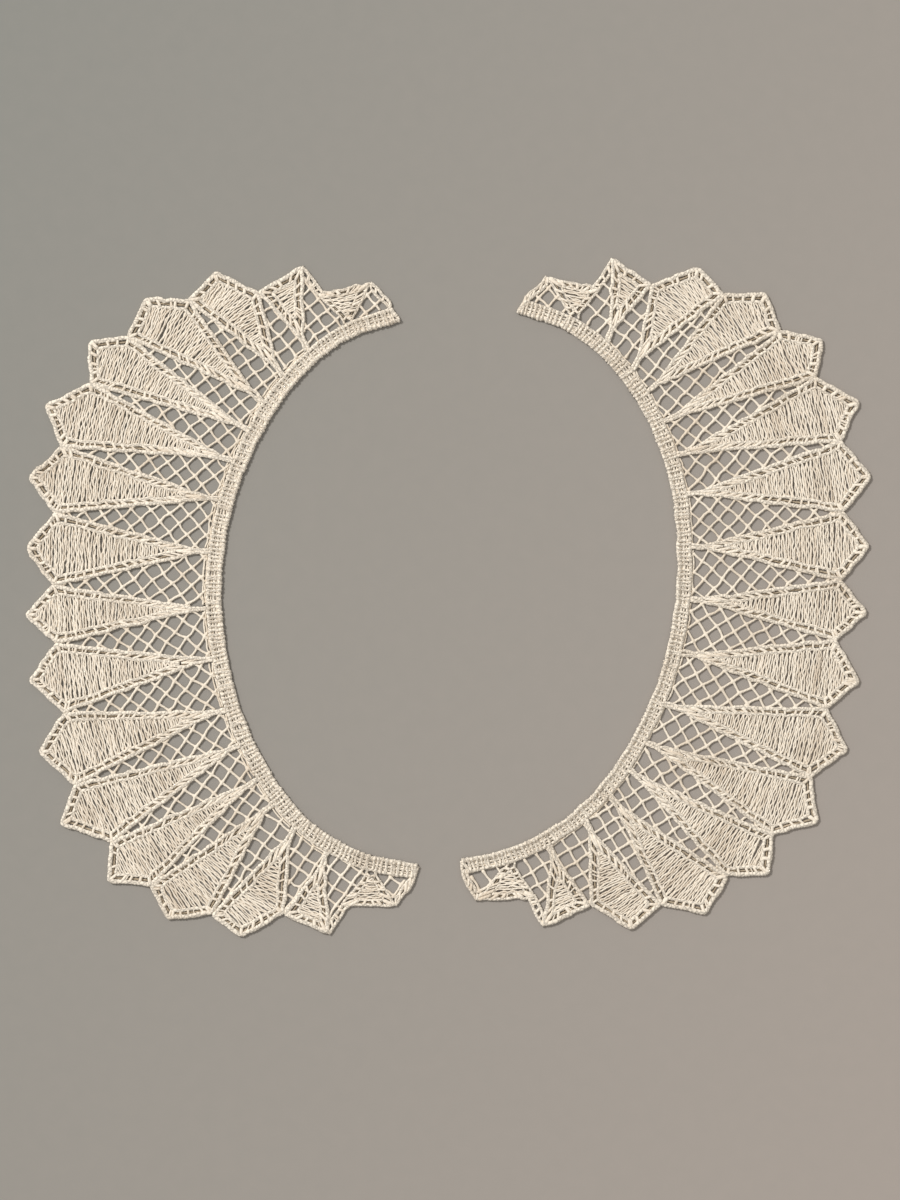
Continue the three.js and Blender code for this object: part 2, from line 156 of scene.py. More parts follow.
def spun(name, threads):
    """One mesh of round threads: a ring of points at each place of each path, and closed ends."""
    places, faces, uvs, shades, stitches = [], [], [], [], []
    first = 0
    for points, half_width, look in threads:
        sides, stitched, roughness, shade_range = LOOKS[look]
        ring = np.arange(sides)
        turns = 2 * np.pi * ring / sides - np.pi / 2
        count = len(points)
        points = strayed(points)
        left = sideways(points)
        width = half_width[:, None] + rng.normal(0, roughness, (count, sides))
        out = width * np.cos(turns)
        up = width * np.sin(turns) * FLATNESS
        rings = np.empty((count, sides, 3))
        rings[:, :, :2] = points[:, None, :2] + out[:, :, None] * left[:, None]
        rings[:, :, 2] = np.maximum(points[:, None, 2] + up, LOWEST)
        places.append(rings.reshape(-1, 3))
        start = first + sides * np.arange(count - 1)[:, None] + ring
        beside = first + sides * np.arange(count - 1)[:, None] + (ring + 1) % sides
        quads = np.stack([start, start + sides, beside + sides, beside], axis=2).reshape(-1, 4)
        faces += quads.tolist()
        faces.append((first + ring).tolist())
        faces.append((first + sides * (count - 1) + ring[::-1]).tolist())
        length = np.r_[0, np.cumsum(np.linalg.norm(np.diff(points, axis=0), axis=1))]
        u0, u1 = np.repeat(length[:-1], sides), np.repeat(length[1:], sides)
        v0 = np.tile(ring / sides, count - 1)
        v1 = v0 + 1 / sides
        uv = np.stack([[u0, v0], [u1, v0], [u1, v1], [u0, v1]]).transpose(2, 0, 1)
        uvs.append(uv.reshape(-1, 2) + (PATTERN_STARTS * rng.random(), 0))
        uvs.append(np.zeros((2 * sides, 2)))
        shades.append(np.full(count * sides, rng.uniform(*shade_range)))
        stitches.append(np.full(count * sides, stitched))
        first += count * sides
    mesh = bpy.data.meshes.new(name)
    mesh.from_pydata(np.concatenate(places) * MM, [], faces)
    mesh.polygons.foreach_set("use_smooth", np.ones(len(faces), bool))
    mesh.uv_layers.new(name="Thread").data.foreach_set("uv", np.concatenate(uvs).ravel())
    for attribute, values in (("shade", shades), ("stitched", stitches)):
        layer = mesh.attributes.new(attribute, "FLOAT", "POINT")
        layer.data.foreach_set("value", np.concatenate(values))
    mesh.update()
    return mesh


def cotton(name, pale, deep, ground_painted_shade):
    """Matt ecru cotton: threads differ a little, ply lines run round each, and fine fuzz breaks the
    light. On a cord the valleys between its stitches are bumped and darkened by painted shade, and the
    low thread in a ladder's gap takes a deep colour that is painted shade for the warm shade there."""
    material = bpy.data.materials.new(name)
    material.use_nodes = True
    tree = material.node_tree
    link = tree.links.new
    surface = tree.nodes["Principled BSDF"]
    surface.inputs["Roughness"].default_value = 0.85
    surface.inputs["Sheen Weight"].default_value = 0.25
    surface.inputs["Sheen Roughness"].default_value = 0.5
    surface.inputs["Specular IOR Level"].default_value = 0.25
    place = tree.nodes.new("ShaderNodeTexCoord")

    patches = tree.nodes.new("ShaderNodeTexNoise")
    patches.inputs["Scale"].default_value = 60.0
    patches.inputs["Detail"].default_value = 4.0
    link(place.outputs["Object"], patches.inputs["Vector"])
    shade = tree.nodes.new("ShaderNodeAttribute")
    shade.attribute_name = "shade"
    both = tree.nodes.new("ShaderNodeMath")
    both.operation = "MULTIPLY_ADD"
    both.inputs[1].default_value = 0.45
    link(shade.outputs["Fac"], both.inputs[0])
    link(patches.outputs["Fac"], both.inputs[2])
    tones = tree.nodes.new("ShaderNodeValToRGB")
    tones.color_ramp.elements[0].position = 0.35
    tones.color_ramp.elements[0].color = (*deep, 1)
    tones.color_ramp.elements[1].position = 0.85
    tones.color_ramp.elements[1].color = (*pale, 1)
    # the lowest tone, the deep colour of the low thread in a ladder's gap, is painted shade
    tones.color_ramp.elements.new(0.15).color = (*ground_painted_shade, 1)
    link(both.outputs["Value"], tones.inputs["Fac"])

    # On a cord the colour is darkened in the valleys between its stitch cells: painted shade in these
    # recesses. The same valleys also feed the stitch bump below.
    stitched = tree.nodes.new("ShaderNodeAttribute")
    stitched.attribute_name = "stitched"
    laid = tree.nodes.new("ShaderNodeMapping")
    laid.inputs["Scale"].default_value = (1.0, 1.8, 1.0)
    link(place.outputs["UV"], laid.inputs["Vector"])
    cells = tree.nodes.new("ShaderNodeTexVoronoi")
    cells.voronoi_dimensions = "2D"
    cells.feature = "DISTANCE_TO_EDGE"
    cells.inputs["Scale"].default_value = 1.0
    cells.inputs["Randomness"].default_value = 0.8
    link(laid.outputs["Vector"], cells.inputs["Vector"])
    between = tree.nodes.new("ShaderNodeMapRange")
    between.inputs["From Max"].default_value = 0.17
    between.inputs["To Min"].default_value = 0.52
    link(cells.outputs["Distance"], between.inputs["Value"])
    valley_depth_and_shade = tree.nodes.new("ShaderNodeMix")
    valley_depth_and_shade.data_type = "FLOAT"
    valley_depth_and_shade.inputs["A"].default_value = 1.0
    link(stitched.outputs["Fac"], valley_depth_and_shade.inputs["Factor"])
    link(between.outputs["Result"], valley_depth_and_shade.inputs["B"])
    valley_painted_shade = tree.nodes.new("ShaderNodeVectorMath")
    valley_painted_shade.operation = "SCALE"
    link(tones.outputs["Color"], valley_painted_shade.inputs[0])
    link(valley_depth_and_shade.outputs["Result"], valley_painted_shade.inputs["Scale"])
    link(valley_painted_shade.outputs["Vector"], surface.inputs["Base Color"])

    ply = tree.nodes.new("ShaderNodeTexWave")
    ply.wave_type = "BANDS"
    ply.bands_direction = "DIAGONAL"
    ply.inputs["Scale"].default_value = 1.0
    ply.inputs["Distortion"].default_value = 1.5
    turn = tree.nodes.new("ShaderNodeMapping")
    turn.inputs["Scale"].default_value = (0.55, 2.0, 1.0)
    link(place.outputs["UV"], turn.inputs["Vector"])
    link(turn.outputs["Vector"], ply.inputs["Vector"])
    fuzz = tree.nodes.new("ShaderNodeTexNoise")
    fuzz.inputs["Scale"].default_value = 3000.0
    fuzz.inputs["Detail"].default_value = 3.0
    link(place.outputs["Object"], fuzz.inputs["Vector"])
    stitch_bump = tree.nodes.new("ShaderNodeBump")
    stitch_bump.inputs["Strength"].default_value = 0.5
    stitch_bump.inputs["Distance"].default_value = 0.00015
    link(valley_depth_and_shade.outputs["Result"], stitch_bump.inputs["Height"])
    ply_bump = tree.nodes.new("ShaderNodeBump")
    ply_bump.inputs["Strength"].default_value = 0.5
    ply_bump.inputs["Distance"].default_value = 0.0001
    link(ply.outputs["Fac"], ply_bump.inputs["Height"])
    link(stitch_bump.outputs["Normal"], ply_bump.inputs["Normal"])
    fuzz_bump = tree.nodes.new("ShaderNodeBump")
    fuzz_bump.inputs["Strength"].default_value = 0.5
    fuzz_bump.inputs["Distance"].default_value = 0.0001
    link(fuzz.outputs["Fac"], fuzz_bump.inputs["Height"])
    link(ply_bump.outputs["Normal"], fuzz_bump.inputs["Normal"])
    link(fuzz_bump.outputs["Normal"], surface.inputs["Normal"])
    return material


def neck_edge(side):
    """Along a half's neck edge, from its upper end: places, the way outwards, and the length so far."""
    mesh = nodes[side + "_band"].data
    places = {
        (round(v.co.x / MM, 2), round(v.co.y / MM, 2))
        for v in mesh.vertices
        if abs(v.co.z / MM - NECK_EDGE_HEIGHT) < 0.02
    }
    sign = -1 if side == "left" else 1
    edge = np.array(sorted(places, key=lambda p: math.atan2(sign * p[0], p[1])))
    edge = spaced(edge, 1.0)[4:-4]  # without its round ends
    steps = np.linspace(NECK_EDGE_END, 0.5, 6)[:, None]
    before = edge[0] + steps * (edge[0] - edge[1])
    after = edge[-1] + steps[::-1] * (edge[-1] - edge[-2])
    edge = np.vstack([before, edge, after])
    out = sideways(edge)
    if out[len(out) // 2, 0] * sign < 0:
        out = -out
    length = np.r_[0, np.cumsum(np.linalg.norm(np.diff(edge, axis=0), axis=1))]
    return edge, out, length


def beside_neck(side, at, offset):
    """Places at a length along a half's neck edge and an offset outwards from it."""
    places, out, length = neck_edges[side]
    shift = BAND_NECK_SHIFT[side] * np.clip(1 - np.asarray(offset) / BAND_NECK_REACH, 0, 1)
    offset = offset + shift
    here = [np.interp(at, length, places[:, k]) + offset * np.interp(at, length, out[:, k]) for k in (0, 1)]
    return np.stack(here, axis=1)


def eased(corners, cut, closed=False):
    """A path with its corners rounded off, all alike or each by its own cut."""
    corners = np.asarray(corners, float)
    cuts = np.broadcast_to(cut, len(corners))
    if closed:
        corners = np.vstack([corners[-1:], corners, corners[:1]])
    else:
        cuts = cuts[1:-1]
    path = [] if closed else [corners[0]]
    for before, corner, after, cut in zip(corners, corners[1:], corners[2:], cuts):
        start = corner + (before - corner) * min(0.45, cut / np.linalg.norm(before - corner))
        end = corner + (after - corner) * min(0.45, cut / np.linalg.norm(after - corner))
        for t in np.linspace(0, 1, 6):
            path.append((1 - t) ** 2 * start + 2 * t * (1 - t) * corner + t * t * end)
    path.append(path[0] if closed else corners[-1])
    return np.array(path)


def put(name, mesh, material, slot, *replaced):
    """The finished piece, on the one body that the collar is, in place of its plain solids."""
    mesh.materials.append(material)
    piece = bpy.data.objects.new(name, mesh)
    bpy.context.scene.collection.objects.link(piece)
    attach(piece, "root")
    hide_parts(*replaced)
    return piece


cord_cotton = cotton("ecru_cotton_cord", COTTON_PALE, COTTON_DEEP, COTTON_GROUND_PAINTED_SHADE)
neck_edges = {side: neck_edge(side) for side in ("left", "right")}
bands = {}

for side, edge in neck_edges.items():
    end = edge[2][-1]
    (neck, neck_width), (outer, outer_width) = BAND_RIM
    short = BAND_END + BAND_SLANT
    corners = [(BAND_END, neck), (end - BAND_END, neck), (end - short, outer), (short, outer)]
    rim = spaced(eased(corners, BAND_ROUND, closed=True), BAND_STEP)
    lines = [(rim, np.interp(rim[:, 1], (neck, outer), (neck_width, outer_width)), BAND_CORD_HEIGHT)]
    for offset, width, height in BAND_LINES:
        lines.append((spaced([(short, offset), (end - short, offset)], BAND_STEP), width, height))
    threads = []
    for line, width, height in lines:
        drift = waver(len(line), BAND_STRAY, 6)
        beads = 1 + BAND_BEAD * np.cos(2 * np.pi * line[:, 0] / BAND_STITCH_PITCH)
        beads += waver(len(line), CORD_UNEVEN, 3)
        path = beside_neck(side, line[:, 0], line[:, 1] + drift)
        threads.append(thread(path, width * beads, height, "cord"))
    for at in np.arange(BAND_STITCH_ENDS[0], end - BAND_STITCH_ENDS[1], BAND_STITCH_PITCH):
        stitch = BAND_STITCH + rng.normal(0, BAND_STITCH_STRAY, BAND_STITCH.shape)
        offsets, heights, widths = stitch.T
        ats = at + rng.normal(0, BAND_STITCH_SHIFT) + waver(len(offsets), BAND_STITCH_WAVER, 3)
        slant = 0.5 + BAND_SLANT * offsets / BAND_STITCH[-1, 0]
        ats = np.clip(ats, slant, end - slant)
        path = beside_neck(side, ats, offsets)
        threads.append(thread(path, widths * rng.uniform(*BAND_STITCH_WIDTHS), heights, "cord"))
    name = side + "_neck_band"
    bands[side] = put(name, spun(name, threads), cord_cotton, "cotton_cord", side + "_band")

# The petals: each is one long kite of close cotton threads laid across it, two layers deep, inside
# a ladder of two cords. The outer cord is thick round the point and thinner down the sides, where
# the net joins it, and the cords run together in a short stem that is sewn to the neck band.
SEAM_HALF = 0.15  # the solids stand back this far from each seam
SIDE_CORD = 0.53  # half widths
POINT_CORD = 0.67
INNER_CORD = 0.50
SIDE_EDGE = 0.12  # from the outline to the middle of the outer cord
POINT_EDGE = 0.85
SIDE_LADDER = 1.93  # and to the middle of the inner cord
POINT_LADDER = 2.78
STEM = (0.36, 3.2, 8.0)  # half the way between its cords, its length, and where the inner cord starts
STEM_TUCK = 0.9  # how far its cords run in over the band
STEM_ROUND = 1.0  # how far a corner is rounded off
POINT_ROUND = 1.0
NOTCH_ROUND = 0.35
INNER_ROUND = 0.6
SIDE_RUNG_PITCH = 2.75
POINT_RUNG_PITCH = 2.7
RUNG = 0.38  # half widths
POINT_RUNG = 0.46
RUNG_STRAY = 0.13  # along the ladder, as a share of the pitch
RUNG_TURN = 0.06
RUNG_WIDTHS = (0.75, 1.25)
STRAY_RUNGS = 0.35  # how many cells of a ladder have a thin thread too
STRAY_PLACES = (0.3, 0.7)  # in the cell
STRAY_WIDTHS = (0.35, 0.6)
RUNG_SLANT = 0.15
RUNG_HEIGHT = 0.62
GROUND_SHADE_THREAD = 0.38  # a thin low thread that shows between the rungs; its deep colour is painted shade, for the warm shade in the ladder's gap
GROUND_SHADE_HEIGHT = 0.12
CORD_HEIGHT = 0.52  # of its middle
CORD_STRAY = 0.13
CORD_BEAD = 0.08  # how much it bulges at each stitch
CORD_STEP = 0.45  # between two of its rings
CORD_STITCH = 0.9  # from stitch to stitch
FILL_LAYERS = (  # pitch, half width, height, waviness, in mm
    (1.22, 0.22, 0.26, 0.16),
    (0.61, 0.250, 0.60, 0.078),
)
FILL_STEP = 0.52
FILL_WAVE = 2.8  # from one needle hole to the next but one along a thread
FILL_PAIR = 0.19  # how far two threads draw together where they turn round the inner cord
FILL_PAIR_REACH = 0.7
FILL_LEAST = 0.8  # no thread is shorter
FILL_PITCH_STRAY = 0.05
FILL_TURN_STRAY = 0.03
FILL_PHASE_STRAY = 0.09
FILL_WAVER = 0.082
FILL_WIDTH_WAVER = 0.14
FILL_HEIGHT_WAVER = 0.06
FILL_WIDTHS = (0.85, 1.15)
LEAN = 0.58  # how far the threads turn towards the flatter edge of the point
HALF_LEAN = 0.85  # and in a petal whose point has one edge, all along it
LEAN_START = 0.45  # along the petal
PAST_POINT = 6.0  # leaning threads cross the axis beyond the point


def underside(node):
    """The outlines of a solid's underside, in mm: the outer one first, then its holes."""
    shape = bmesh.new()
    shape.from_mesh(nodes[node].data)
    bmesh.ops.remove_doubles(shape, verts=shape.verts, dist=1e-6)
    under = {f for f in shape.faces if max(abs(v.co.z) for v in f.verts) < 1e-6}
    beside = {}
    for edge in shape.edges:
        if sum(f in under for f in edge.link_faces) == 1:
            for v in edge.verts:
                beside.setdefault(v, []).append(edge.other_vert(v))
    left = sorted(beside, key=lambda v: v.index)
    loops = []
    while left:
        loop = [left.pop(0)]
        while True:
            ahead = [v for v in beside[loop[-1]] if v in left]
            if not ahead:
                break
            loop.append(ahead[0])
            left.remove(ahead[0])
        loops.append(np.array([v.co.xy for v in loop]) / MM)
    shape.free()
    return sorted(loops, key=lambda loop: -np.ptp(loop, axis=0).sum())


def meeting(a, along_a, b, along_b):
    """Where two lines cross."""
    t = np.cross(b - a, along_b) / np.cross(along_a, along_b)
    return a + t * along_a


def drawn_in(corners, distances):
    """A closed outline with each edge moved inwards by its own distance. Edge k follows corner k."""
    corners = np.asarray(corners, float)
    ahead = np.roll(corners, -1, axis=0)
    turn = np.sign(np.cross(corners, ahead).sum())
    along = ahead - corners
    along /= np.linalg.norm(along, axis=1)[:, None]
    inward = turn * np.stack([-along[:, 1], along[:, 0]], axis=1)
    start = corners + inward * np.asarray(distances, float)[:, None]
    return np.array([meeting(start[k - 1], along[k - 1], start[k], along[k]) for k in range(len(corners))])


def laid_cord(path, half_width, height):
    """A satin-stitched cord: it bulges a little at each stitch and strays a little from its line."""
    path = spaced(np.column_stack([path, np.broadcast_to(half_width, len(path))]), CORD_STEP)
    width = path[:, 2]
    at = np.arange(len(path)) * CORD_STEP
    path = path[:, :2] + sideways(path) * waver(len(path), CORD_STRAY, 4)[:, None]
    beads = 1 + CORD_BEAD * np.cos(2 * np.pi * at / CORD_STITCH) + waver(len(path), CORD_UNEVEN, 3)
    return thread(path, width * beads, height, "cord")


def rungs(outer, inner, pitch, half_width, slant):
    """Short stitches across a ladder, from its outer line to its inner one, and some thin strays."""
    length = (np.linalg.norm(outer[1] - outer[0]) + np.linalg.norm(inner[1] - inner[0])) / 2
    count = max(2, int(round(length / pitch)))
    places = [
        (k + rng.normal(0, RUNG_STRAY), half_width * rng.uniform(*RUNG_WIDTHS))
        for k in range(count + 1)
    ]
    strays = [k for k in range(count) if rng.random() < STRAY_RUNGS]
    places += [
        (k + rng.uniform(*STRAY_PLACES), half_width * rng.uniform(*STRAY_WIDTHS))
        for k in strays
    ]
    found = []
    for place, width in places:
        lean = (slant + rng.normal(0, RUNG_TURN)) / 2
        start = outer[0] + (outer[1] - outer[0]) * np.clip((place - lean) / count, 0, 1)
        end = inner[0] + (inner[1] - inner[0]) * np.clip((place + lean) / count, 0, 1)
        found.append(thread(np.linspace(start, end, 4), width, RUNG_HEIGHT))
    return found


def span_across(corners, here, way):
    """Where a line through a place crosses an outline: how far off are the first and the last cross."""
    square = np.array([-way[1], way[0]])
    local = np.stack([(corners - here) @ square, (corners - here) @ way], axis=1)
    hits = []
    for a, b in zip(local, np.roll(local, -1, axis=0)):
        if a[0] * b[0] < 0:
            hits.append(a[1] - (b[1] - a[1]) * a[0] / (b[0] - a[0]))
    return (min(hits), max(hits)) if len(hits) >= 2 else None


def fill(corners, origin, axis, leans):
    """Wavy threads across a petal in two layers. Neighbours touch at the needle holes and part
    between them, and each pair turns round the inner cord together. They lean by one angle in the
    petal's lower part, and turn to another one at its point."""
    square = np.array([-axis[1], axis[0]])
    reach = (corners - origin) @ axis
    found = []
    for pitch, half_width, height, waviness in FILL_LAYERS:
        phase = 0
        for k, at in enumerate(np.arange(reach.min() + 0.6 * pitch, reach.max() + PAST_POINT, pitch)):
            at += rng.normal(0, FILL_PITCH_STRAY)
            share = np.clip((at - reach.min()) / np.ptp(reach), LEAN_START, 1) - LEAN_START
            turn = leans[0] + (leans[1] - leans[0]) * share / (1 - LEAN_START)
            turn += rng.normal(0, FILL_TURN_STRAY)
            here = origin + at * axis
            way = math.cos(turn) * square + math.sin(turn) * axis
            ahead = np.array([way[1], -way[0]])
            ends = span_across(corners, here, way)
            if ends is None or ends[1] - ends[0] < FILL_LEAST:
                continue
            v = np.linspace(ends[0], ends[1], max(4, int((ends[1] - ends[0]) / FILL_STEP)))
            side = (-1) ** k
            phase += rng.normal(0, FILL_PHASE_STRAY)
            u = side * waviness * np.cos(2 * np.pi * (v / FILL_WAVE + phase))
            u += waver(len(v), FILL_WAVER, 2)
            from_end = np.minimum(v - ends[0], ends[1] - v)
            u += np.where(v > 0, side, -side) * FILL_PAIR * np.exp(-(from_end / FILL_PAIR_REACH) ** 2)
            path = here + u[:, None] * ahead + v[:, None] * way
            widths = half_width * (1 + waver(len(v), FILL_WIDTH_WAVER, 2)) * rng.uniform(*FILL_WIDTHS)
            found.append(thread(path, widths, height + waver(len(v), FILL_HEIGHT_WAVER, 3)))
    return found


def petal_corners(node):
    """A whole petal's foot, notch, tip and notch, and its root, from its solid's underside. The root
    is the middle of the stem's end, and the foot is where the petal's two sides would meet."""
    loop = underside(node)[0]
    root_at = np.argsort(np.linalg.norm(loop, axis=1))[:2]
    root = loop[root_at].mean(axis=0)
    # start beside the root, so that the three far corners come one after the other
    loop = np.roll(loop, -root_at.max() if abs(np.diff(root_at)[0]) == 1 else 0, axis=0)
    far = np.linalg.norm(loop - root, axis=1)
    first, tip, last = np.flatnonzero(far > 0.6 * far.max())[:3]
    knees = loop[first - 1], loop[(last + 1) % len(loop)]
    foot = meeting(loop[first], knees[0] - loop[first], loop[last], knees[1] - loop[last])
    corners = np.array([foot, loop[first], loop[tip], loop[last]])
    return drawn_in(corners, [-SEAM_HALF] * 4), root


def petal_threads(corners, root, small=1.0, stem=STEM, ladders=(SIDE_LADDER, POINT_LADDER)):
    """All the threads of one petal, whose first corner is its foot and whose point has one edge or
    two. The fill lies across the petal and leans towards the flatter edge of the point. A small petal
    has thinner cords."""
    point_edges = len(corners) - 2
    axis = (corners[2] if point_edges == 2 else corners[1:].mean(axis=0)) - root
    axis /= np.linalg.norm(axis)
    square = np.array([-axis[1], axis[0]])
    edges = np.diff(corners[1:], axis=0)
    slopes = [math.atan((edge @ axis) / (edge @ square)) for edge in edges]
    leans = (0, -LEAN * sum(slopes)) if point_edges == 2 else (HALF_LEAN * slopes[0],) * 2
    outer = drawn_in(corners, [SIDE_EDGE, *[POINT_EDGE * small] * point_edges, SIDE_EDGE])
    inner = drawn_in(corners, [ladders[0], *[ladders[1]] * point_edges, ladders[0]])
    middle = corners[1:].mean(axis=0) - root
    middle /= np.linalg.norm(middle)
    spread, stem_length, inner_foot = stem
    inner[0] = root + middle * inner_foot
    aside = np.array([-middle[1], middle[0]])
    if (outer[1] - root) @ aside < 0:
        aside = -aside
    starts = [root - STEM_TUCK * middle + w * spread * aside for w in (1, -1)]
    knees = [root + stem_length * middle + w * spread * aside for w in (1, -1)]
    path = np.array([starts[0], knees[0], *outer[1:], knees[1], starts[1]])
    widths = [SIDE_CORD, SIDE_CORD, *[POINT_CORD] * (point_edges + 1), SIDE_CORD, SIDE_CORD]
    cuts = [NOTCH_ROUND, *[POINT_ROUND] * (point_edges - 1), NOTCH_ROUND]
    cuts = [STEM_ROUND, STEM_ROUND, *cuts, STEM_ROUND, STEM_ROUND]
    rounded = eased(np.column_stack([path, widths]), cuts)
    threads = [laid_cord(rounded[:, :2], rounded[:, 2] * small, CORD_HEIGHT)]
    threads.append(laid_cord(eased(inner, INNER_ROUND, closed=True), INNER_CORD * small, CORD_HEIGHT))
    ends = [knees[0], *outer[1:], knees[1]]
    inside = [inner[0], *inner[1:], inner[0]]
    for k in range(point_edges + 2):
        at_side = k in (0, point_edges + 1)
        pitch, width = (SIDE_RUNG_PITCH, RUNG) if at_side else (POINT_RUNG_PITCH, POINT_RUNG)
        pitch *= (1 + small) / 2
        threads += rungs(ends[k : k + 2], inside[k : k + 2], pitch, width, RUNG_SLANT)
        gap = [(ends[k + e] + inside[k + e]) / 2 for e in (0, 1)]
        # a low thread along the ladder's gap, in the deep colour that is painted shade for the warm shade
        # there
        threads.append(thread(spaced(gap, 1.5), GROUND_SHADE_THREAD * small, GROUND_SHADE_HEIGHT, "ground_painted_shade"))
    return threads + fill(inner, root, axis, leans)


petals = {side: [] for side in neck_edges}
for side in neck_edges:
    for k in range(1, 14):
        name = f"{side}_petal_{k:02d}"
        corners, root = petal_corners(name)
        threads = petal_threads(corners, root)
        petal = put(name + "_lace", spun(name + "_lace", threads), cord_cotton, "cotton_cord", name)
        petals[side].append((petal, corners, root))

# The nets: between two petals a panel of square net, of single threads that cross and are knotted
# where they meet. The squares run on from panel to panel, and the threads' ends are caught under
# the petals' cords and in a thin hem thread beside the neck band.
NET_PITCH = 3.7
NET_BAR = 0.75  # between two gaps of the solid net
NET_THREAD = 0.34  # half width
NET_PALE = (0.90, 0.80, 0.66)
NET_HEIGHT = 0.42
NET_KNOT = 0.19  # how much wider a crossing is
NET_TUCK = 0.45  # how far the threads go in under the cords
NET_STRAY = 0.14
NET_BOW = 0.13  # of a thread between two crossings
NET_LEAST = 0.9  # a long thread that comes no further in than this lies along a cord, and is left out
NET_WIDTHS = (0.88, 1.12)
NET_WIDTH_WAVER = 0.02
NET_HEIGHT_WAVER = 0.04
NET_HEMS = {"left": (-0.35, 0.3), "right": (-0.4,)}  # from the net's lower edge
HEM_THREAD = 0.27
HEM_HEIGHT = 0.33
HEM_WAVER = 0.13
HEM_WIDTH_WAVER = 0.12


def depth(places, outline):
    """How far inside an outline each place is. Outside it the depth is negative."""
    a, b = outline, np.roll(outline, -1, axis=0)
    along = b - a
    from_a = places[:, None] - a
    share = np.clip((from_a * along).sum(axis=2) / (along ** 2).sum(axis=1), 0, 1)
    away = np.linalg.norm(from_a - share[..., None] * along, axis=2).min(axis=1)
    y = places[:, None, 1]
    spans = (a[:, 1] > y) != (b[:, 1] > y)
    with np.errstate(divide="ignore", invalid="ignore"):
        x = a[:, 0] + (y - a[:, 1]) * along[:, 0] / along[:, 1]
    inside = (spans & (places[:, None, 0] < x)).sum(axis=1) % 2 == 1
    return np.where(inside, away, -away)


def net(outline, gaps, tuck=NET_TUCK):
    """Net threads over an outline, on the square grid that the gaps of the solid net are on."""
    start, first, second = grid_corner(gaps)
    start = start - (first + second) * NET_BAR / 2
    reach = int(np.linalg.norm(outline - start, axis=1).max() / NET_PITCH) + 2
    steps = np.arange(-reach, reach + 1)
    along, across = np.meshgrid(steps * NET_PITCH, steps * NET_PITCH, indexing="ij")
    crossings = start + along[..., None] * first + across[..., None] * second
    crossings += rng.normal(0, NET_STRAY, crossings.shape)
    found = []
    for lines in (crossings, crossings.transpose(1, 0, 2)):
        for line in lines:
            bows = (line[1:] + line[:-1]) / 2
            bows += sideways(line)[:-1] * rng.normal(0, NET_BOW, (len(line) - 1, 1))
            path = np.empty((2 * len(line) - 1, 2))
            path[::2], path[1::2] = line, bows
            at = np.linspace(0, len(path) - 1, 5 * len(path))
            low = np.clip(at.astype(int), 1, len(path) - 3)
            t = (at - low)[:, None]
            p0, p1, p2, p3 = (path[low + k] for k in (-1, 0, 1, 2))
            bend = 2 * p0 - 5 * p1 + 4 * p2 - p3 + t * (3 * (p1 - p2) + p3 - p0)
            smooth = p1 + 0.5 * t * (p2 - p0 + t * bend)
            knot = NET_KNOT * np.exp(-((at / 2 - np.round(at / 2)) / 0.15) ** 2)
            inwards = depth(smooth, outline)
            kept = inwards > -tuck
            starts = np.flatnonzero(kept & ~np.r_[False, kept[:-1]])
            ends = np.flatnonzero(kept & ~np.r_[kept[1:], False])
            for start, end in zip(starts, ends):
                part = slice(start, end + 1)
                if end - start < 4 or end - start > 9 and inwards[part].max() < NET_LEAST:
                    continue
                count = end - start + 1
                widths = NET_THREAD * rng.uniform(*NET_WIDTHS) + knot[part]
                widths += waver(count, NET_WIDTH_WAVER, 3)
                heights = NET_HEIGHT + waver(count, NET_HEIGHT_WAVER, 3)
                found.append(thread(smooth[part], widths, heights))
    return found


def grid_corner(gaps):
    """The best square corner of a solid net's gaps, and the ways along its two sides."""
    best = None
    for gap in gaps:
        for corner, before, after in zip(gap, np.roll(gap, 1, axis=0), np.roll(gap, -1, axis=0)):
            sides = [np.linalg.norm(place - corner) for place in (before, after)]
            ways = [(place - corner) / side for place, side in zip((before, after), sides)]
            if abs(ways[0] @ ways[1]) < 0.01 and (best is None or min(sides) > best[0]):
                best = min(sides), corner, *ways
    return best[1:]


def enclosed(outline):
    """The area inside an outline, in square mm."""
    return abs(np.cross(outline, np.roll(outline, -1, axis=0)).sum()) / 2


net_cotton = cotton("ecru_cotton_net", NET_PALE, COTTON_DEEP, COTTON_GROUND_PAINTED_SHADE)
panels = {side: [] for side in neck_edges}
for side in neck_edges:
    for k in range(1, 15):
        name = f"{side}_net_{k:02d}"
        outline, *gaps = underside(name)
        threads = net(outline, gaps)
        nearest = np.argsort(np.linalg.norm(outline, axis=1))
        base = outline[nearest[:-3]]  # all its corners but the three outermost lie beside the band
        base = base[np.argsort(np.arctan2(base[:, 0] * np.sign(outline[0, 0]), base[:, 1]))]
        line = spaced(base, 0.4)
        for inset in NET_HEMS[side]:
            drift = inset + waver(len(line), HEM_WAVER, 4)
            hem = line * (1 + drift / np.linalg.norm(line, axis=1))[:, None]
            widths = HEM_THREAD * (1 + waver(len(line), HEM_WIDTH_WAVER, 2))
            threads.append(thread(hem, widths, HEM_HEIGHT))
        panel = put(name + "_threads", spun(name + "_threads", threads), net_cotton, "cotton_net", name)
        panels[side].append((panel, enclosed(outline)))

# How the lace is cut: each half is one piece, in sections: each petal with the net beside it, as wide
# and as long as the petal, reaches to the middle of the nets on both sides. Here each section's length,
# width and area are worked out.
for side in neck_edges:
    for k, (petal, corners, root) in enumerate(petals[side]):
        way = corners[2] - root
        length = np.linalg.norm(way)
        width = np.ptp(corners @ np.array([-way[1], way[0]])) / length
        area = enclosed(corners) + (panels[side][k][1] + panels[side][k + 1][1]) / 2

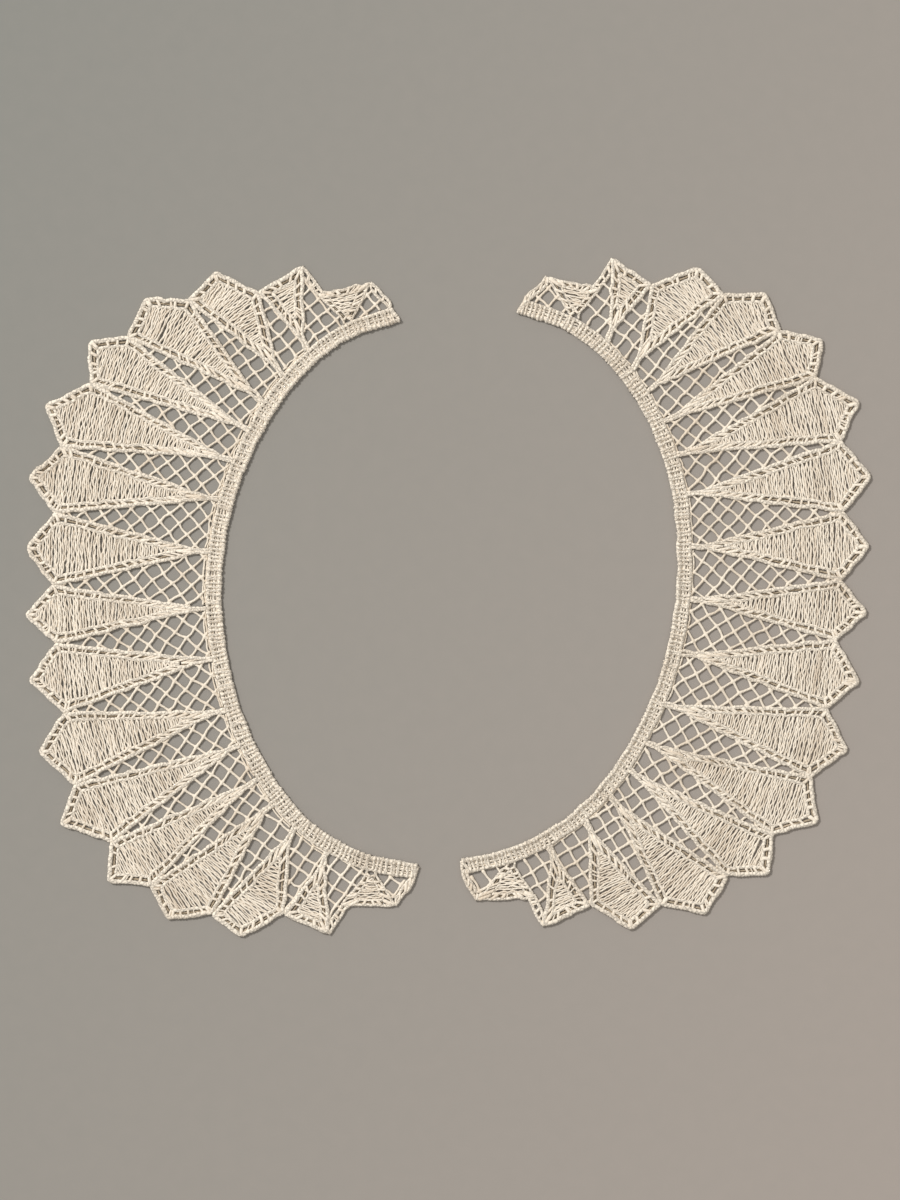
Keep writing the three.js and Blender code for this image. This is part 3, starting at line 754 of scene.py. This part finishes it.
# The end motifs: each half finishes in half a petal, a strip of net, a small petal whose cords start
# from the large one's point, and a last scrap of net. Its own cords run to the band's rounded end.
SMALL_PETAL_ROOTS = {  # along the neck edge, in mm
    "left_end_upper": 13.9,
    "left_end_lower": 187.1,
    "right_end_upper": 14.9,
    "right_end_lower": 187.1,
}
SMALL_PETAL_OFFSET = 4.65  # and from it
HALF_PETAL_ROOT = 0.8  # of the large half petal, past the solid's last corner beside the band
SMALL = 0.68  # the small petal's cords against the others
SMALL_STEM = (1.05, 0.3, 0.9)  # as STEM
SMALL_LADDERS = (1.8, 1.8)  # at its sides and its point
RIM_ENDS = {  # where the motif's own cord ends: from the band's end, and from the neck edge
    "left_end_upper": (2.9, 3.6),
    "left_end_lower": (0.5, 0.6),
    "right_end_upper": (0.5, 0.6),
    "right_end_lower": (0.5, 0.6),
}
DOUBLE_CORD = 0.78  # from its middle to each cord's middle
DOUBLE_SHIFT = 0.8  # from the line between the point and the small petal's root, towards the net
DOUBLE_RUNG_PITCH = 2.2
DOUBLE_RUNG_SLANT = 0.1
DOUBLE_STARTS = (0.4, 2.5)  # of its inner and outer cord, from the large petal's point
DOUBLE_ENDS = (2.0, 1.0)  # and how far they run on past the small petal's corner
DOUBLE_HEIGHT = 0.45
END_CORD = 0.5
END_HEIGHT = 0.5
END_ROUND = 1.2
OUTER_RIM = (0, 0.45, 0.2, 0)  # how far the motif's own cords lie inside its outline
INNER_RIM = (SIDE_LADDER - 0.9, 1.6, 0.45, 0.45)
INNER_RIM_HEIGHT = 0.42
LAST_NET = (1.6, 0.4, 0, 0)

ends = {side: [] for side in neck_edges}
for name, at in SMALL_PETAL_ROOTS.items():
    side = name.split("_")[0]
    loops = underside(name)
    loop = loops[0]
    # from the large half petal's point round by the band to its knee and its notch
    highest = np.abs(loop[:, 1]).argmax()
    loop = np.roll(loop, -highest, axis=0)
    if abs(loop[1, 0]) > abs(loop[-1, 0]):
        loop = np.roll(loop[::-1], 1, axis=0)
    tip, start, shoulder, corner = loop[:4]
    base, (knee, notch) = loop[4:-2], loop[-2:]
    towards_root = (base[-1] - base[-2]) / np.linalg.norm(base[-1] - base[-2])
    root = base[-1] + HALF_PETAL_ROOT * towards_root
    small_root = beside_neck(side, np.array([at]), SMALL_PETAL_OFFSET)[0]

    half_petal = drawn_in([meeting(notch, knee - notch, tip, root - tip), notch, tip], [-SEAM_HALF] * 3)
    threads = petal_threads(half_petal, root)
    straight = (small_root - tip) / np.linalg.norm(small_root - tip)
    aside = np.array([-straight[1], straight[0]])
    if (root - tip) @ aside < 0:
        aside = -aside
    far, near = (DOUBLE_SHIFT + w * DOUBLE_CORD for w in (1, -1))
    reach = (start - tip) @ straight
    small_notch = tip + straight * reach + (far + SIDE_EDGE) * aside
    small_petal = [small_root + aside, small_notch, shoulder]
    small_petal = drawn_in(small_petal, [0, -SEAM_HALF, -SEAM_HALF])
    threads += petal_threads(small_petal, small_root, SMALL, SMALL_STEM, SMALL_LADDERS)
    inner_line, outer_line = (
        (tip + start_at * straight + beside * aside, tip + (reach + past) * straight + beside * aside)
        for start_at, past, beside in zip(DOUBLE_STARTS, DOUBLE_ENDS, (near, far))
    )
    for line in (inner_line, outer_line):
        threads.append(laid_cord(np.array(line), END_CORD, DOUBLE_HEIGHT))
    threads += rungs(outer_line, inner_line, DOUBLE_RUNG_PITCH, RUNG, DOUBLE_RUNG_SLANT)
    from_end, offset = RIM_ENDS[name]
    rim_end = beside_neck(side, [from_end if at < 100 else neck_edges[side][2][-1] - from_end], offset)[0]
    rim = np.array([small_root, shoulder, corner, rim_end])
    outer_rim = drawn_in(rim, OUTER_RIM)[1:]
    inner_rim = drawn_in(rim, INNER_RIM)[1:]
    threads.append(laid_cord(eased(outer_rim, END_ROUND), END_CORD, END_HEIGHT))
    threads.append(laid_cord(inner_rim[:2], INNER_CORD, INNER_RIM_HEIGHT))
    threads += rungs(outer_rim[:2], inner_rim[:2], DOUBLE_RUNG_PITCH, RUNG, DOUBLE_RUNG_SLANT)
    small_foot = small_root + SMALL_STEM[0] * aside
    threads += net(np.array([tip, outer_line[0], small_petal[1], small_foot, root]), loops[1:])
    threads += net(drawn_in([shoulder, corner, base[0], small_root], LAST_NET), loops[1:])
    end = put(name + "_lace", spun(name + "_lace", threads), cord_cotton, "cotton_cord", name)
    ends[side].append((end, enclosed(loop), np.linalg.norm(neck_edges[side][0] - tip, axis=1).min()))

# The rest of each half's cut: the band with both end motifs and the last net, as long as the neck
# edge and as wide as the motifs are deep.
for side, band in bands.items():
    width = max(deep for end, area, deep in ends[side])
    length = neck_edges[side][2][-1]
    area = enclosed(underside(side + "_band")[0]) + sum(area for end, area, deep in ends[side])
    area += (panels[side][0][1] + panels[side][-1][1]) / 2

# The floor: a plain pale table top of a warm grey, painted paler and warmer towards the lower right,
# partly as painted light that evens out the lamp's fall-off there. It isn't part of the collar.
FLOOR_COLOURS = ((0.241, 0.238, 0.214), (0.400, 0.350, 0.310))
FLOOR_SLOPE_WITH_PAINTED_LIGHT = (2.15, -1.14, 0.0)  # of the share of the second colour, in 1 m
FLOOR_PATCHES = 0.12  # how much faint patches change that share
FLOOR_GRAIN = 220.0
FLOOR_HALF = 4.0  # half its width

floor_mesh = bpy.data.meshes.new("floor")
floor_shape = bmesh.new()
bmesh.ops.create_grid(floor_shape, x_segments=1, y_segments=1, size=FLOOR_HALF)
floor_shape.to_mesh(floor_mesh)
floor_shape.free()
floor = bpy.data.objects.new("floor", floor_mesh)
bpy.context.scene.collection.objects.link(floor)
floor_material = bpy.data.materials.new("plain_floor")
floor_material.use_nodes = True
floor_tree = floor_material.node_tree
floor_surface = floor_tree.nodes["Principled BSDF"]
floor_surface.inputs["Roughness"].default_value = 0.9
floor_place = floor_tree.nodes.new("ShaderNodeTexCoord")
floor_patches = floor_tree.nodes.new("ShaderNodeTexNoise")
floor_patches.inputs["Scale"].default_value = FLOOR_GRAIN
floor_patches.inputs["Detail"].default_value = 3.0
floor_tree.links.new(floor_place.outputs["Object"], floor_patches.inputs["Vector"])
# the floor's colour slope, partly painted light that evens out the lamp's fall-off
floor_slope_with_painted_light = floor_tree.nodes.new("ShaderNodeVectorMath")
floor_slope_with_painted_light.operation = "DOT_PRODUCT"
floor_slope_with_painted_light.inputs[1].default_value = FLOOR_SLOPE_WITH_PAINTED_LIGHT
floor_tree.links.new(floor_place.outputs["Object"], floor_slope_with_painted_light.inputs[0])
floor_share = floor_tree.nodes.new("ShaderNodeMath")
floor_share.operation = "MULTIPLY_ADD"
floor_share.inputs[1].default_value = FLOOR_PATCHES
floor_tree.links.new(floor_patches.outputs["Fac"], floor_share.inputs[0])
floor_tree.links.new(floor_slope_with_painted_light.outputs["Value"], floor_share.inputs[2])
floor_tones = floor_tree.nodes.new("ShaderNodeMix")
floor_tones.data_type = "RGBA"
floor_tones.inputs["A"].default_value = (*FLOOR_COLOURS[0], 1)
floor_tones.inputs["B"].default_value = (*FLOOR_COLOURS[1], 1)
floor_middle = floor_tree.nodes.new("ShaderNodeMath")
floor_middle.inputs[1].default_value = 0.5 - FLOOR_PATCHES / 2
floor_tree.links.new(floor_share.outputs["Value"], floor_middle.inputs[0])
floor_tree.links.new(floor_middle.outputs["Value"], floor_tones.inputs["Factor"])
floor_tree.links.new(floor_tones.outputs["Result"], floor_surface.inputs["Base Color"])
floor_mesh.materials.append(floor_material)

# The light: one broad soft lamp, well off to the upper left, so that the collar's shadows fall to
# the lower right, and an even pale surround that fills them.
LAMP_PLACE = (-1.5, 1.3, 1.9)
LAMP_SIZE = 0.5
LAMP_POWER = 56.0
SURROUND_COLOUR = (1.0, 0.98, 0.95)
SURROUND_STRENGTH = 0.55

lamp_data = bpy.data.lights.new("window", "AREA")
lamp_data.shape = "DISK"
lamp_data.size = LAMP_SIZE
lamp_data.energy = LAMP_POWER
lamp = bpy.data.objects.new("window", lamp_data)
lamp.location = LAMP_PLACE
lamp.rotation_euler = (-Vector(lamp.location)).to_track_quat("-Z", "Y").to_euler()
bpy.context.scene.collection.objects.link(lamp)
world = bpy.data.worlds.new("surround")
world.use_nodes = True
background = world.node_tree.nodes["Background"]
background.inputs["Color"].default_value = (*SURROUND_COLOUR, 1)
background.inputs["Strength"].default_value = SURROUND_STRENGTH
bpy.context.scene.world = world
bpy.context.scene.view_settings.view_transform = "Standard"
